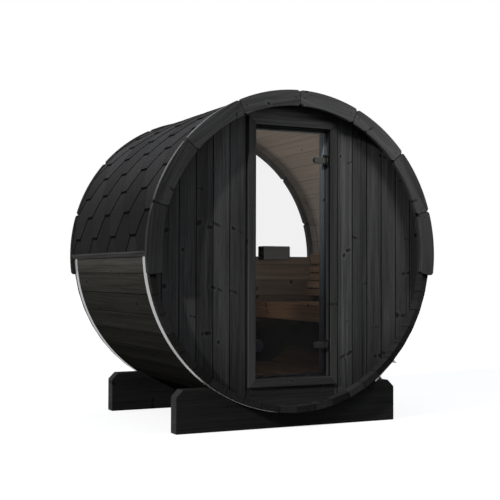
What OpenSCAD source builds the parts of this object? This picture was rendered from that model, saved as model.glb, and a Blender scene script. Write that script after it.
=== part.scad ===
// Barrel sauna: a cabin of bevelled staves on two cradles, bound by steel hoops,
// with arched end trim, a shingled upper half, a glass door and a half-moon rear window.
// Millimetres, +Z up, front towards -Y, origin on the ground under the middle of the barrel.

/* [Barrel] */
// Radius of the barrel over the corners of its staves
barrel_r = 1000; // [960:5:1200]
// Length of the staves
barrel_l = 1500; // [1300:10:3000]
// Clear height between the ground and the barrel
ground_gap = 100; // [60:5:200]
// Number of staves round the barrel
stave_count = 48; // [40:8:64]
// Thickness of the staves
stave_t = 40; // [32:1:50]
// Bevel along the outer edges of each stave
stave_bevel = 3; // [1:0.5:6]
// Radius of the bead and cove that join two staves
bead_r = 8; // [5:0.5:10]
// Depth of the groove in the staves that holds the end walls
croze_d = 10; // [6:1:15]

/* [Cradles] */
// Width of a cradle
cradle_w = 1560; // [1400:10:1700]
// Height of a cradle at its ends
cradle_h = 267; // [220:1:300]
// Thickness of a cradle along the barrel
cradle_t = 86; // [60:1:120]
// Chamfer on the upper corners of a cradle
cradle_chamfer = 45; // [20:1:70]
// Front cradle's distance from the front ends of the staves
front_cradle_inset = 95; // [92:1:200]
// Rear cradle's distance from the rear ends of the staves
rear_cradle_inset = 122; // [92:1:200]

/* [Hoops] */
// Width of a steel hoop
hoop_w = 50; // [30:1:52]
// Thickness of a steel hoop
hoop_t = 2; // [1:0.5:4]
// Hoop's distance from the ends of the staves
hoop_inset = 35; // [20:1:38]
// Direction of the tensioner round the barrel, from the right-hand side
tension_angle = -47.5; // [-52:0.5:-40]
// Angle from the tensioner's middle to each ear
ear_angle = 4; // [3:0.25:5]
// Height of an ear above the hoop
ear_h = 44; // [40:1:55]
// Thickness of an ear
ear_t = 4; // [3:0.5:6]
// Diameter of the tensioning bolt
bolt_d = 10; // [8:1:12]
// Bolt axis above the barrel, at the middle between the ears
bolt_rise = 28; // [20:1:30]
// Length of thread past the nut
bolt_tail = 30; // [10:1:50]

/* [Roof] */
// Angle of the lowest row of tabs above the eaves
first_course = 5.4; // [3:0.1:8]
// Courses between the lowest row of tabs and the ridge
course_count = 10; // [8:1:12]
// Thickness of a course at its lower edge
course_butt = 8; // [6:0.5:10]
// Thickness of a course at its upper edge
course_head = 4; // [3.5:0.5:5]
// Half angle of the ridge cap
ridge_angle = 4.5; // [3:0.5:6]
// Height of the eaves battens
eaves_h = 32; // [20:1:60]
// Width of the eaves battens at the top
eaves_w = 18; // [12:1:30]
// Width of the eaves battens at the bottom
eaves_foot = 3; // [2:0.5:8]
// Height of the square upper edge of the eaves battens
eaves_lip = 8; // [4:1:15]

/* [Arched trim] */
// Outer radius of the trim past the barrel
arch_over = 20; // [12:1:40]
// Width of the trim
arch_w = 100; // [80:1:115]
// Thickness of the trim
arch_t = 30; // [20:1:45]
// Angle that the trim runs down below the barrel's axis
arch_drop = 8; // [0:0.5:14]
// Segments on each side of the trim
arch_segments = 4; // [3:1:6]
// Bevel on the corners of each segment
arch_corner = 13; // [6:0.5:18]

/* [End walls] */
// Distance from the ends of the staves to the end walls
wall_recess = 68; // [50:1:100]
// Thickness of the end walls
wall_t = 40; // [34:1:50]
// Height of the rail under the rear window
rail_h = 60; // [40:1:90]
// Thickness of the rear window's glass
window_t = 8; // [6:1:12]
// Depth of the groove in the rail that holds the glass
rail_groove_d = 12; // [8:1:18]

/* [Door] */
// Width of the glass door
glass_w = 524; // [480:2:560]
// Height of the glass door
glass_h = 1576; // [1500:2:1600]
// Thickness of the glass door
glass_t = 8; // [6:1:10]
// Gap round the glass door
door_gap = 6; // [5:0.5:9]
// Door frame's lower rebate above the floor
door_step = 12; // [6:1:25]
// Width of the frame's face
casing_w = 50; // [44:1:60]
// Depth that the frame stands out of the wall
casing_t = 15; // [10:1:25]
// Thickness of the frame's lining
lining_t = 32; // [25:1:40]
// Width of the frame's stop
stop_w = 20; // [12:1:22]
// Depth of the frame's stop
stop_d = 20; // [15:1:40]
// Distance from the frame's face to the glass
glass_set = 37; // [32:1:45]
// Gap between the glass and the stop
stop_gap = 10; // [10:1:16]

/* [Hinges] */
// Distance from the door's middle to each hinge
hinge_spread = 594; // [500:2:640]
// Height of a hinge
hinge_h = 66; // [56:2:90]
// Radius of a hinge's knuckles
knuckle_r = 6.5; // [5.5:0.5:7]
// Height of the door's knuckle
door_knuckle_h = 28; // [20:2:40]
// Radius of a hinge pin
pin_r = 3; // [2:0.5:4]
// Length of a clamp over the glass
clamp_l = 86; // [70:1:110]
// Height of a clamp's rounded nose
nose_h = 38; // [30:1:50]
// Height of a clamp's root
root_h = 60; // [40:1:64]
// Width of a clamp's root
root_w = 22; // [15:1:30]
// Thickness of a clamp's front plate
clamp_t = 9; // [7:0.5:10]
// Thickness of a clamp's rear plate
clamp_back_t = 5; // [3:0.5:5]
// Radius of the boss that joins a clamp's plates
boss_r = 8; // [5:0.5:10]

/* [Floor] */
// Floor's height above the lowest stave
floor_rise = 158; // [140:2:180]
// Thickness of the floor boards
floor_t = 28; // [20:1:35]
// Number of floor boards
floor_boards = 8; // [6:1:12]
// Gap between floor boards
floor_gap = 5; // [2:0.5:10]
// Thickness of the floor's bearers
joist_t = 45; // [35:1:70]

/* [Bench] */
// Seat's height above the floor
seat_h = 456; // [430:2:500]
// Distance from the barrel's middle to the bench's front
bench_x = 400; // [340:2:460]
// Height of the bench's front board
apron_h = 116; // [105:1:150]
// Thickness of the bench's boards
bench_t = 28; // [20:1:35]
// Number of seat slats
seat_slats = 5; // [3:1:7]
// Gap between seat slats
seat_gap = 10; // [6:1:15]
// Height of the bench's bearers
bearer_h = 70; // [50:1:75]
// Thickness of the bench's bearers
bearer_t = 45; // [30:1:60]

/* [Backrest] */
// Height of the backrest's top above the seat
back_rise = 366; // [340:2:390]
// Height of the top slat
top_slat_h = 78; // [60:1:90]
// Height of the other slats
slat_h = 48; // [40:1:55]
// Number of slats under the top one
slat_count = 4; // [2:1:4]
// Gap between slats
slat_gap = 13; // [8:0.5:16]
// Thickness of the slats
slat_t = 22; // [16:1:26]
// Depth of the ribs between the slats and the staves
rib_d = 66; // [55:1:75]
// Width of the ribs along the barrel
rib_w = 40; // [30:1:60]

/* [Fittings] */
// Width of the control box
box_w = 224; // [160:2:260]
// Height of the control box
box_h = 102; // [80:1:130]
// Depth of the control box
box_d = 100; // [60:1:120]
// Edge chamfer of the control box
box_chamfer = 4; // [1:0.5:10]
// Left side of the control box, from the barrel's middle
box_x = 416; // [380:2:480]
// Control box's overlap below the window rail's top
box_drop = 24; // [15:1:40]
// Radius of the air vent's flange
vent_r = 50; // [44:1:60]
// Radius of the air vent's collar
collar_r = 38; // [30:1:40]
// Wall of the air vent's collar
collar_t = 4; // [2:0.5:6]
// Thickness of the air vent's flange
flange_t = 6; // [4:0.5:10]
// Air vent's distance from the barrel's middle
vent_x = 410; // [380:2:430]
// Air vent's height above the floor
vent_rise = 120; // [100:2:160]

/* [Fits] */
// Gap between seated pieces
fit = 0.3; // [0.2:0.05:0.4]
// Gap between two staves
stave_gap = 0.4; // [0.2:0.1:0.8]
// Radial clearance of the hinge pins
pin_clearance = 0.05; // [0.02:0.01:0.1]

/* [Hidden] */
$fn = 96;

STAIN = [0.16, 0.16, 0.165];
TRIM = [0.21, 0.21, 0.215];
BROWN = [0.45, 0.32, 0.22];
STEEL = [0.80, 0.81, 0.82];
FELT = [0.23, 0.23, 0.25];
BLACK = [0.08, 0.08, 0.09];
GREY = [0.28, 0.30, 0.33];
BRONZE = [0.42, 0.36, 0.30, 0.5];
CLEAR = [0.85, 0.92, 0.94, 0.35];

// Barrel: ring sizes, and the stretch of Y that it takes up
pitch = 360 / stave_count;
face_r = barrel_r * cos(pitch / 2);
inner_r = face_r - stave_t;
groove_r = inner_r + croze_d;
wall_r = groove_r - fit;
axis_z = barrel_r + ground_gap;
front_y = -barrel_l / 2;
rear_y = barrel_l / 2;
group_span = 45;
group_size = stave_count * group_span / 360;
past = 10;

// End walls
front_wall_y = front_y + wall_recess;
cabin_front = front_wall_y + wall_t;
cabin_rear = rear_y - wall_recess - wall_t;
window_y = cabin_rear + (wall_t - window_t) / 2;

// Heights below the axis
floor_drop = inner_r - floor_rise;
seat_drop = floor_drop - seat_h;
vent_drop = floor_drop - vent_rise;

// Door frame: the rebate is its reference rectangle, in X and in height from the axis
rebate_x = glass_w / 2 + door_gap;
rebate_low = -floor_drop + door_step;
rebate_high = rebate_low + glass_h + 2 * door_gap;
rebate_half_h = (rebate_high - rebate_low) / 2;
door_mid = (rebate_low + rebate_high) / 2;
frame_y = front_wall_y - casing_t;
glass_y = frame_y + glass_set;
stop_y = glass_y + glass_t + stop_gap;
frame_back = stop_y + stop_d;

// Hinges: the pins' axis, and the plates round it
knuckle_room = 3.5;
pin_x = rebate_x - knuckle_r - knuckle_room;
pin_y = glass_y - knuckle_r * 2 - 1;
plate_t = knuckle_room;
plate_front = 16;
plate_rear = 8;
knuckle_gap = 0.5;
clamp_x = pin_x - knuckle_r - 1.5;

// Hoops and the roof that lies on them
hoop_r = barrel_r + hoop_t;
roof_r = hoop_r + fit;
course_angle = (90 - first_course) / course_count;
course_step = fit / roof_r * 180 / PI;
bolt_r = barrel_r + bolt_rise;
bolt_reach = bolt_r * tan(ear_angle) + ear_t / cos(ear_angle);
head_r = bolt_d * 0.9;
head_h = bolt_d * 0.7;
head_at = bolt_reach + head_r * tan(ear_angle) + fit;

// Arched trim
arch_r = barrel_r + arch_over;
arch_in = arch_r - arch_w;
arch_angle = (90 + arch_drop) / arch_segments;
arch_joint = fit / arch_r * 180 / PI;

// Floor
floor_low = -floor_drop - floor_t;
deck_half = sqrt(pow(inner_r - fit, 2) - pow(floor_low, 2));
board_w = (2 * deck_half - (floor_boards - 1) * floor_gap) / floor_boards;
deck_front = max(frame_back, cabin_front) + fit;
deck_rear = cabin_rear - fit;

// Bench and backrest
seat_low = -seat_drop - bench_t;
seat_in = bench_x + bench_t + seat_gap;
seat_out = sqrt(pow(inner_r - fit, 2) - pow(seat_low, 2));
seat_slat_w = (seat_out - seat_in - (seat_slats - 1) * seat_gap) / seat_slats;
bench_front_y = cabin_front + fit;
bench_rear_y = cabin_rear - fit;
back_r = inner_r - fit - rib_d - slat_t;
back_top = asin((back_rise - seat_drop) / back_r);
slat_back_r = sqrt(pow(back_r + slat_t, 2) + pow(top_slat_h / 2, 2));
back_step = (slat_h + slat_gap) / back_r * 180 / PI;
top_angle = top_slat_h / back_r * 180 / PI;
gap_angle = slat_gap / back_r * 180 / PI;

function polar(r, a) = [r * cos(a), r * sin(a)];

// Extrudes a drawing, made in X and height from the axis, between two places on Y
module slab(y0, y1) {
    translate([0, y1, axis_z]) rotate([90, 0, 0]) linear_extrude(y1 - y0) children();
}

// A pie slice from angle a0 to a1, less than half a turn
module wedge(a0, a1) {
    polygon([[0, 0], polar(4 * barrel_r, a0), polar(4 * barrel_r, (a0 + a1) / 2), polar(4 * barrel_r, a1)]);
}

// A circle of the barrel's own size, and a ring of two of them
module disc(r) { circle(r, $fn = 720); }
module ring(r0, r1) {
    difference() {
        disc(r1);
        disc(r0);
    }
}

// The part of a drawing below (or above) a height from the axis
module below(h) { translate([-2 * barrel_r, h - 4 * barrel_r]) square(4 * barrel_r); }
module above(h) { translate([-2 * barrel_r, h]) square(4 * barrel_r); }

// Cradles: broad bearers, hollowed to the barrel

module cradle(y0) {
    half = cradle_w / 2;
    top = cradle_h - axis_z;
    slab(y0, y0 + cradle_t) difference() {
        polygon([
            [-half, -axis_z], [half, -axis_z], [half, top - cradle_chamfer], [half - cradle_chamfer, top],
            [cradle_chamfer - half, top], [-half, top - cradle_chamfer]
        ]);
        disc(barrel_r + fit);
    }
}

module front_cradle() { color(STAIN) cradle(front_y + front_cradle_inset); }
module rear_cradle() { color(STAIN) cradle(rear_y - rear_cradle_inset - cradle_t); }

// Staves: flat planks with a bead on one edge, a cove on the other and bevelled outer corners

function stave_side(x) = x * tan(pitch / 2) - stave_gap / 2;

module stave_profile() {
    bevel_x = face_r - stave_bevel;
    bead_x = inner_r + stave_t / 2;
    difference() {
        union() {
            polygon([
                [inner_r, -stave_side(inner_r)], [bevel_x, -stave_side(bevel_x)],
                [face_r, stave_bevel - stave_side(face_r)], [face_r, stave_side(face_r) - stave_bevel],
                [bevel_x, stave_side(bevel_x)], [inner_r, stave_side(inner_r)]
            ]);
            translate([bead_x, stave_side(bead_x)]) circle(bead_r);
        }
        rotate(-pitch) translate([bead_x, stave_side(bead_x)]) circle(bead_r + stave_gap);
    }
}

// Grooves that hold the front wall, the rear wall and, above the axis, the rear window
module croze() {
    slab(front_wall_y - fit, cabin_front + fit) ring(inner_r - past, groove_r);
    slab(cabin_rear - fit, cabin_rear + wall_t + fit) difference() {
        ring(inner_r - past, groove_r);
        above(0);
    }
    slab(window_y - fit, window_y + window_t + fit) difference() {
        ring(inner_r - past, groove_r);
        below(0);
    }
}

module staves(middle) {
    difference() {
        slab(front_y, rear_y) for (i = [0 : group_size - 1])
            rotate(middle - group_span / 2 + (i + 0.5) * pitch) stave_profile();
        croze();
    }
}

module bottom_staves() { color(STAIN) staves(-90); }
module lower_right_staves() { color(STAIN) staves(-45); }
module right_staves() { color(STAIN) staves(0); }
module upper_right_staves() { color(STAIN) staves(45); }
module top_staves() { color(STAIN) staves(90); }
module upper_left_staves() { color(STAIN) staves(135); }
module left_staves() { color(STAIN) staves(180); }
module lower_left_staves() { color(STAIN) staves(-135); }

// Hoops: split steel bands, drawn tight by a bolt through two ears

// Places children on the tensioning bolt: X points out of the barrel and Z along the bolt
module at_bolt(y) {
    translate([0, y, axis_z]) rotate([0, -tension_angle, 0]) translate([bolt_r, 0, 0]) children();
}

module hoop(y0) {
    difference() {
        slab(y0, y0 + hoop_w) rotate(tension_angle) {
            difference() {
                ring(barrel_r, hoop_r);
                wedge(-ear_angle, ear_angle);
            }
            for (s = [-1, 1]) rotate(s * ear_angle) translate([hoop_r - hoop_t / 2, (s - 1) / 2 * ear_t])
                square([hoop_t / 2 + ear_h, ear_t]);
        }
        at_bolt(y0 + hoop_w / 2) cylinder(h = 4 * bolt_reach, r = bolt_d / 2 + fit, center = true);
    }
}

module hoop_bolt(y0) {
    at_bolt(y0 + hoop_w / 2) {
        shank_low = head_at + head_h + bolt_tail;
        translate([0, 0, -shank_low]) cylinder(h = shank_low + head_at, r = bolt_d / 2);
        translate([0, 0, head_at]) cylinder(h = head_h, r = head_r, $fn = 6);
        translate([0, 0, -head_at - head_h]) cylinder(h = head_h, r = head_r, $fn = 6);
    }
}

module front_hoop() { color(STEEL) hoop(front_y + hoop_inset); }
module rear_hoop() { color(STEEL) hoop(rear_y - hoop_inset - hoop_w); }
module front_hoop_bolt() { color(STEEL) hoop_bolt(front_y + hoop_inset); }
module rear_hoop_bolt() { color(STEEL) hoop_bolt(rear_y - hoop_inset - hoop_w); }

// Front wall: a disc in four pieces round the door frame

module front_wall_piece() {
    slab(front_wall_y, cabin_front) intersection() {
        disc(wall_r);
        children();
    }
}

module front_wall_side() {
    front_wall_piece() translate([rebate_x + lining_t, -2 * barrel_r]) square(4 * barrel_r);
}

module front_wall_middle() {
    front_wall_piece() intersection() {
        translate([-rebate_x - lining_t, -barrel_r]) square([2 * (rebate_x + lining_t), 2 * barrel_r]);
        children();
    }
}

module front_wall_left() { color(STAIN) mirror([1, 0, 0]) front_wall_side(); }
module front_wall_right() { color(STAIN) front_wall_side(); }
module front_wall_head() { color(STAIN) front_wall_middle() above(rebate_high + lining_t); }
module front_wall_foot() { color(STAIN) front_wall_middle() below(rebate_low - lining_t); }

// Rear wall: a half disc, its top rail, and the half-moon glass that stands in the rail

module rear_wall() {
    color(STAIN) difference() {
        slab(cabin_rear, cabin_rear + wall_t) intersection() {
            disc(wall_r);
            below(-rail_h);
        }
        at_vent() cylinder(h = 4 * wall_t, r = collar_r + fit, center = true);
    }
}

module rear_window_rail() {
    color(STAIN) difference() {
        slab(cabin_rear, cabin_rear + wall_t) intersection() {
            disc(wall_r);
            above(-rail_h);
            below(0);
        }
        slab(window_y - fit, window_y + window_t + fit) above(-rail_groove_d);
    }
}

module rear_window() {
    color(CLEAR) slab(window_y, window_y + window_t) intersection() {
        disc(wall_r);
        above(fit - rail_groove_d);
    }
}

// Floor: boards along the barrel on bearers that fill its round bottom

module floor_bearers() {
    first = deck_front;
    last = deck_rear - joist_t;
    color(BROWN) for (y = [first, (first + last) / 2, last]) slab(y, y + joist_t) intersection() {
        disc(inner_r - fit);
        below(floor_low);
    }
}

module floor_deck() {
    color(BROWN) slab(deck_front, deck_rear) for (i = [0 : floor_boards - 1])
        translate([i * (board_w + floor_gap) - deck_half, floor_low]) square([board_w, floor_t]);
}

// Bench along the right-hand side, between the end walls

module bench_bearers() {
    first = bench_front_y;
    last = bench_rear_y - bearer_t;
    color(BROWN) for (y = [first, (first + last) / 2, last]) slab(y, y + bearer_t) intersection() {
        disc(inner_r - fit);
        translate([bench_x + bench_t, seat_low - bearer_h]) square([barrel_r, bearer_h]);
    }
}

module bench_front() {
    color(BROWN) slab(bench_front_y, bench_rear_y)
        translate([bench_x, -seat_drop - apron_h]) square([bench_t, apron_h]);
}

module bench_seat() {
    color(BROWN) slab(bench_front_y, bench_rear_y) for (i = [0 : seat_slats - 1])
        translate([seat_in + i * (seat_slat_w + seat_gap), seat_low]) square([seat_slat_w, bench_t]);
}

// Backrest: slats that follow the curve of the wall, on three ribs

module backrest_ribs() {
    low = back_top - top_angle - slat_count * back_step;
    first = bench_front_y;
    last = bench_rear_y - rib_w;
    color(BROWN) for (y = [first, (first + last) / 2, last]) slab(y, y + rib_w) intersection() {
        ring(slat_back_r + fit, inner_r - fit);
        wedge(low, back_top);
    }
}

module back_slat(top, h) {
    rotate(top - h / 2 / back_r * 180 / PI) translate([back_r, -h / 2]) square([slat_t, h]);
}

module backrest_slats() {
    color(BROWN) slab(bench_front_y, bench_rear_y) {
        back_slat(back_top, top_slat_h);
        for (i = [0 : slat_count - 1]) back_slat(back_top - top_angle - gap_angle - i * back_step, slat_h);
    }
}

// Fittings on the rear wall

module control_box() {
    outline = [
        [0, box_chamfer], [box_chamfer, 0], [box_w - box_chamfer, 0], [box_w, box_chamfer],
        [box_w, box_h - box_chamfer], [box_w - box_chamfer, box_h], [box_chamfer, box_h], [0, box_h - box_chamfer]
    ];
    color(BLACK) slab(cabin_rear - box_d, cabin_rear) translate([box_x, -box_drop]) polygon(outline);
}

// Places children on the air vent: Z points into the cabin from the wall's inner face
module at_vent() { translate([vent_x, cabin_rear, axis_z - vent_drop]) rotate([90, 0, 0]) children(); }

module air_vent() {
    stem_r = 4;
    cap_gap = 8;
    bore_r = collar_r - collar_t;
    color(GREY) at_vent() {
        difference() {
            union() {
                cylinder(h = flange_t, r = vent_r);
                translate([0, 0, -wall_t]) cylinder(h = wall_t + flange_t, r = collar_r);
            }
            cylinder(h = 4 * wall_t, r = bore_r, center = true);
        }
        translate([-bore_r - collar_t / 2, -stem_r, -wall_t / 2])
            cube([2 * bore_r + collar_t, 2 * stem_r, 2 * stem_r]);
        translate([0, 0, -wall_t / 2]) cylinder(h = wall_t / 2 + flange_t + cap_gap + 1, r = stem_r);
        translate([0, 0, flange_t + cap_gap]) cylinder(h = flange_t, r = collar_r);
    }
}

// Door frame: face, lining and stop, mitred round the rebate

// One side of a frame between two offsets from the rebate, outwards positive, drawn for the head
module frame_strip(a, b, half, top) {
    polygon([[-half - a, top + a], [half + a, top + a], [half + b, top + b], [-half - b, top + b]]);
}

module frame_member(turn, half, top) {
    slab(frame_y, front_wall_y) translate([0, door_mid]) rotate(turn) frame_strip(0, casing_w, half, top);
    slab(front_wall_y, stop_y) translate([0, door_mid]) rotate(turn) frame_strip(0, lining_t, half, top);
    slab(stop_y, frame_back) translate([0, door_mid]) rotate(turn) frame_strip(-stop_w, lining_t, half, top);
}

module door_jamb_left() { color(STAIN) frame_member(90, rebate_half_h, rebate_x); }
module door_jamb_right() { color(STAIN) frame_member(-90, rebate_half_h, rebate_x); }
module door_head() { color(STAIN) frame_member(0, rebate_x, rebate_half_h); }
module door_sill() { color(STAIN) frame_member(180, rebate_x, rebate_half_h); }

// Door: a sheet of glass held by two clamps, each on a pin between two knuckles of the frame

// Places children on each hinge: origin on the pin's axis at the hinge's middle
module at_hinges() {
    for (s = [-1, 1]) translate([pin_x, pin_y, axis_z + door_mid + s * hinge_spread]) children();
}

module hinge_plates() {
    reach = knuckle_r + knuckle_room;
    bare = door_knuckle_h / 2 + knuckle_gap;
    knuckle_l = hinge_h / 2 - bare;
    color(BLACK) at_hinges() {
        translate([reach - plate_t, -plate_front, -hinge_h / 2]) cube([plate_t, plate_front + plate_rear, hinge_h]);
        for (z = [-hinge_h / 2, bare]) translate([0, 0, z]) {
            cylinder(h = knuckle_l, r = knuckle_r);
            translate([0, -knuckle_r, 0]) cube([reach - plate_t / 2, knuckle_r, knuckle_l]);
        }
        translate([0, 0, -hinge_h / 2]) cylinder(h = hinge_h, r = pin_r);
    }
}

module hinge_clamps() {
    front = glass_y - clamp_t - pin_y;
    face = glass_y - pin_y;
    root = clamp_x - pin_x;
    nose = root - clamp_l + nose_h / 2;
    color(BLACK) at_hinges() difference() {
        union() {
            cylinder(h = door_knuckle_h, r = knuckle_r, center = true);
            translate([root, 0, -door_knuckle_h / 2]) cube([-root, face - fit, door_knuckle_h]);
            translate([root - root_w, front, -root_h / 2]) cube([root_w, clamp_t, root_h]);
            clamp_plate(front, clamp_t, nose, root);
            clamp_plate(face + glass_t, clamp_back_t, nose, root);
            translate([nose, face - 1, 0]) rotate([-90, 0, 0]) cylinder(h = glass_t + 2, r = boss_r);
        }
        cylinder(h = 2 * hinge_h, r = pin_r + pin_clearance, center = true);
    }
}

// A plate over the glass with a round nose, from the nose's centre to the root
module clamp_plate(y, t, nose, root) {
    translate([0, y, 0]) {
        translate([nose, 0, 0]) rotate([-90, 0, 0]) cylinder(h = t, r = nose_h / 2);
        translate([nose, 0, -nose_h / 2]) cube([root - nose, t, nose_h]);
    }
}

module door_glass() {
    nose = clamp_x - clamp_l + nose_h / 2;
    color(BRONZE) difference() {
        translate([-glass_w / 2, glass_y, axis_z + door_mid - glass_h / 2]) cube([glass_w, glass_t, glass_h]);
        for (s = [-1, 1]) translate([nose, glass_y - 1, axis_z + door_mid + s * hinge_spread])
            rotate([-90, 0, 0]) cylinder(h = glass_t + 2, r = boss_r + fit);
    }
}

// Roof: courses of shingle that lap like scales, a ridge cap and a batten under each eave

// A course is flat underneath, and touches the roof's radius there at its middle
module course(a0, a1) {
    r = roof_r / cos((a1 - a0) / 2);
    polygon([polar(r, a0), polar(r + course_butt, a0), polar(r + course_head, a1), polar(r, a1)]);
}

module roof_side() {
    slab(front_y + fit, rear_y - fit) {
        course(0, first_course - course_step);
        for (i = [0 : course_count - 1])
            course(first_course + i * course_angle, first_course + (i + 1) * course_angle - course_step);
    }
}

module eaves() {
    slab(front_y + fit, rear_y - fit) translate([roof_r, -fit]) polygon([
        [0, 0], [eaves_w, 0], [eaves_w, -eaves_lip], [eaves_foot, -eaves_h], [0, -eaves_h]
    ]);
}

module roof_left() { color(FELT) mirror([1, 0, 0]) roof_side(); }
module roof_right() { color(FELT) roof_side(); }
module roof_ridge() {
    low = roof_r / cos(course_angle / 2) + course_head + fit;
    color(FELT) slab(front_y + fit, rear_y - fit) intersection() {
        ring(low, low + course_head);
        wedge(90 - ridge_angle, 90 + ridge_angle);
    }
}
module eaves_left() { color(STAIN) mirror([1, 0, 0]) eaves(); }
module eaves_right() { color(STAIN) eaves(); }

// Arched trim on the ends of the staves, in segments with eased corners

// What an eased corner takes off a square one at the origin
module corner_off(c) { polygon([[-c, -c], [2 * c, -c], [-c, 2 * c]]); }

module arch_segment() {
    low = arch_joint / 2;
    high = arch_angle - arch_joint / 2;
    difference() {
        intersection() {
            ring(arch_in, arch_r);
            wedge(low, high);
        }
        rotate(low) arch_corners();
        rotate(high) mirror([0, 1]) arch_corners();
    }
}

module arch_corners() {
    translate([arch_in, 0]) corner_off(arch_corner);
    translate([arch_r, 0]) mirror([1, 0]) corner_off(arch_corner);
}

module arch_side(y0) {
    slab(y0, y0 + arch_t) for (i = [0 : arch_segments - 1]) rotate(i * arch_angle - arch_drop) arch_segment();
}

module front_arch_left() { color(TRIM) mirror([1, 0, 0]) arch_side(front_y - arch_t); }
module front_arch_right() { color(TRIM) arch_side(front_y - arch_t); }
module rear_arch_left() { color(TRIM) mirror([1, 0, 0]) arch_side(rear_y); }
module rear_arch_right() { color(TRIM) arch_side(rear_y); }

front_cradle();
rear_cradle();
bottom_staves();
lower_right_staves();
right_staves();
upper_right_staves();
top_staves();
upper_left_staves();
left_staves();
lower_left_staves();
front_hoop();
rear_hoop();
front_hoop_bolt();
rear_hoop_bolt();
front_wall_left();
front_wall_right();
front_wall_head();
front_wall_foot();
rear_wall();
rear_window_rail();
rear_window();
floor_bearers();
floor_deck();
bench_bearers();
bench_front();
bench_seat();
backrest_ribs();
backrest_slats();
control_box();
air_vent();
door_jamb_left();
door_jamb_right();
door_head();
door_sill();
hinge_plates();
hinge_clamps();
door_glass();
roof_left();
roof_right();
roof_ridge();
eaves_left();
eaves_right();
front_arch_left();
front_arch_right();
rear_arch_left();
rear_arch_right();
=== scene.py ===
import math
import random

import bmesh
import bpy
from mathutils import Matrix, Vector


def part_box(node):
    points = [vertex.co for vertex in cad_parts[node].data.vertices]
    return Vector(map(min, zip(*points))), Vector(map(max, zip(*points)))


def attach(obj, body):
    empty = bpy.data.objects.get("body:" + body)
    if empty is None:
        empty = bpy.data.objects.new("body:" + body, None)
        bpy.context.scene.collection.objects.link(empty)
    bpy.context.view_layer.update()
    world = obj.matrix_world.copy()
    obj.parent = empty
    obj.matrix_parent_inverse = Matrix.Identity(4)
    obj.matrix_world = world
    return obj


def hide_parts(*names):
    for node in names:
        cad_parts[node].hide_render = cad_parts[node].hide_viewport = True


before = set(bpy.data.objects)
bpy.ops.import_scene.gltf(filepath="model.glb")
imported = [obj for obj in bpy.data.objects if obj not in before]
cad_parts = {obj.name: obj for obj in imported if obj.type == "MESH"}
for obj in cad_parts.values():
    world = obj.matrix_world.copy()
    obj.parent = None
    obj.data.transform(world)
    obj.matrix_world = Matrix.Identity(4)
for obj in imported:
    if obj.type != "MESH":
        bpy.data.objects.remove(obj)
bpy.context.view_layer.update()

# Cradles: two thick softwood planks stood on edge and sawn to the barrel's curve.
# Their upper corners are cut off and all edges are planed round. The barrel only rests in them.
# Like the rest of the outside they are brushed with a charcoal stain, so the grain still shows.
CRADLE_EDGE = 0.004
END_FACE_HIGHLIGHT = 2.2
KNOT_ALONG = 0.34
KNOT_ACROSS = 0.15
RING_STEP = 0.0062
SHARP = math.radians(28)


class Tap:
    def __init__(self, tree, socket=None):
        self.tree = tree
        self.socket = socket

    def node(self, kind, settings, sockets, out=0):
        made = self.tree.nodes.new(kind)
        for key, value in settings.items():
            setattr(made, key, value)
        for key, value in sockets.items():
            if isinstance(value, Tap):
                self.tree.links.new(value.socket, made.inputs[key])
            else:
                made.inputs[key].default_value = value
        return Tap(self.tree, made.outputs[out])

    def calc(self, operation, *values):
        return self.node("ShaderNodeMath", {"operation": operation}, dict(enumerate(values)))

    def __add__(self, other):
        return self.calc("ADD", self, other)

    def __radd__(self, other):
        return self.calc("ADD", other, self)

    def __sub__(self, other):
        return self.calc("SUBTRACT", self, other)

    def __rsub__(self, other):
        return self.calc("SUBTRACT", other, self)

    def __mul__(self, other):
        return self.calc("MULTIPLY", self, other)

    def __rmul__(self, other):
        return self.calc("MULTIPLY", other, self)

    def __truediv__(self, other):
        return self.calc("DIVIDE", self, other)

    def __rtruediv__(self, other):
        return self.calc("DIVIDE", other, self)

    def __pow__(self, other):
        return self.calc("POWER", self, other)

    def __rpow__(self, other):
        return self.calc("POWER", other, self)

    def __abs__(self):
        return self.calc("ABSOLUTE", self)

    def reach(self, other):
        return self.calc("SQRT", self * self + other * other)

    def from_whole(self):
        return abs(self - self.calc("ROUND", self))

    def ramp(self, low, high):
        smooth = {"interpolation_type": "SMOOTHSTEP"}
        return self.node("ShaderNodeMapRange", smooth, {0: self, 1: low, 2: high})

    def mix(self, first, second):
        return self.node("ShaderNodeMix", {"data_type": "RGBA"}, {0: self, 6: first, 7: second}, 2)

    def shaded(self, level):
        grey = self.node("ShaderNodeCombineColor", {}, {0: level, 1: level, 2: level})
        settings = {"data_type": "RGBA", "blend_type": "MULTIPLY"}
        return self.node("ShaderNodeMix", settings, {0: 1.0, 6: self, 7: grey}, 2)

    def part(self, axis):
        return self.node("ShaderNodeSeparateXYZ", {}, {0: self}, axis)

    def scaled(self, by):
        return self.node("ShaderNodeVectorMath", {"operation": "MULTIPLY"}, {0: self, 1: by})

    def noise(self, size, detail, roughness):
        sockets = {"Vector": self.scaled(size), "Scale": 1.0, "Detail": detail, "Roughness": roughness}
        return self.node("ShaderNodeTexNoise", {}, sockets)

    def place(self):
        return self.node("ShaderNodeTexCoord", {}, {}, 3)

    def mark(self, name):
        return self.node("ShaderNodeAttribute", {"attribute_name": name}, {}, 2)

    def into(self, shader, socket):
        self.tree.links.new(self.socket, shader.inputs[socket])

    def bump_into(self, shader, strength, distance):
        sockets = {"Strength": strength, "Distance": distance, "Height": self}
        self.node("ShaderNodeBump", {}, sockets).into(shader, "Normal")


def srgb(*levels):
    shares = [level / 255 for level in levels]
    return (*[s / 12.92 if s <= 0.04045 else ((s + 0.055) / 1.055) ** 2.4 for s in shares], 1.0)


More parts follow.
